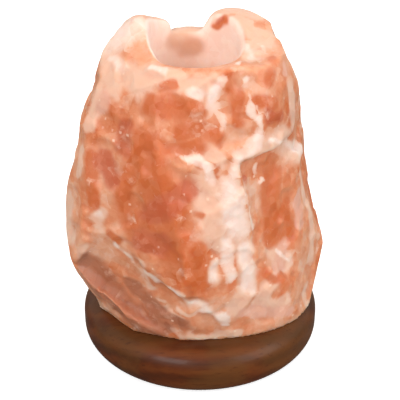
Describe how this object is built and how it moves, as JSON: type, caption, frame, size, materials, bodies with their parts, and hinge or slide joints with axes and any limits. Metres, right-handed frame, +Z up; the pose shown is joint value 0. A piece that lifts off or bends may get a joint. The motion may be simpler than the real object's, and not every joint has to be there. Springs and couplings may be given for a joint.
{
  "type": "salt crystal lamp",
  "caption": "Table lamp of rough pink rock salt on a round dark wooden base, with a round well on top and a bulb on a clip-in lampholder inside.",
  "frame": {"origin": "on the table, on the axis of the round wooden base", "axes": "+Z up, +X to the viewer's right in the picture, -Y towards the viewer; the cord bush is at the back, on +Y"},
  "size_m": [0.1331, 0.1247, 0.1799],
  "materials": {
    "rock_salt": "broken and rubbed crystal, pink to orange, waxy",
    "base_wood": "turned hardwood, dark stain, glossy lacquer",
    "zinc_steel": "bright zinc plate",
    "foot_rubber": "matt black rubber",
    "bush_plastic": "black moulded plastic",
    "holder_plastic": "black moulded thermoset",
    "spring_steel": "rolled spring steel",
    "contact_ceramic": "unglazed white ceramic",
    "contact_brass": "pressed brass",
    "solder": "dull solder",
    "black_glass": "black moulded glass",
    "cap_metal": "rolled thin sheet",
    "clear_glass": "clear blown glass",
    "stem_glass": "clear pressed glass",
    "lead_wire": "drawn wire",
    "tungsten": "dark coiled wire"
  },
  "bodies": {
    "root": {"salt_block": "rock_salt", "wood_base": "base_wood", "base_screws": "zinc_steel", "rubber_foot_1": "foot_rubber", "rubber_foot_2": "foot_rubber", "rubber_foot_3": "foot_rubber", "rubber_foot_4": "foot_rubber", "foot_screws": "zinc_steel", "cord_bush": "bush_plastic"},
    "holder": {"holder_cup": "holder_plastic", "cord_grip": "holder_plastic", "cord_grip_screws": "zinc_steel", "holder_shell": "holder_plastic", "clip_nut": "holder_plastic", "spring_clip": "spring_steel", "contact_insert": "contact_ceramic", "screw_shell": "contact_brass", "centre_contact": "contact_brass", "contact_rivets": "contact_brass", "terminal_block_1": "contact_brass", "terminal_block_2": "contact_brass", "terminal_screws": "zinc_steel"},
    "bulb_eyelet": {"bulb_contact": "solder"},
    "bulb": {"bulb_insulator": "black_glass", "bulb_cap": "cap_metal", "bulb_glass": "clear_glass", "bulb_stem": "stem_glass", "bulb_lead_1": "lead_wire", "bulb_lead_2": "lead_wire", "bulb_supports": "lead_wire", "bulb_filament": "tungsten"}
  },
  "joints": [
    {"name": "holder_pull", "type": "slide", "parent": "root", "child": "holder", "axis": [0, 0, -1], "range_m": [0, 0.125]},
    {"name": "bulb_lift", "type": "slide", "parent": "holder", "child": "bulb_eyelet", "axis": [0, 0, 1], "range_m": [0, 0.00847]},
    {"name": "bulb_unscrew", "type": "hinge", "parent": "bulb_eyelet", "child": "bulb", "pos_m": [0, 0, 0.06], "axis": [0, 0, 1], "range_deg": [0, 1080]}
  ],
  "couplings": [
    {"joint": "bulb_lift", "follows": "bulb_unscrew", "m_per_rad": 0.00044914}
  ]
}
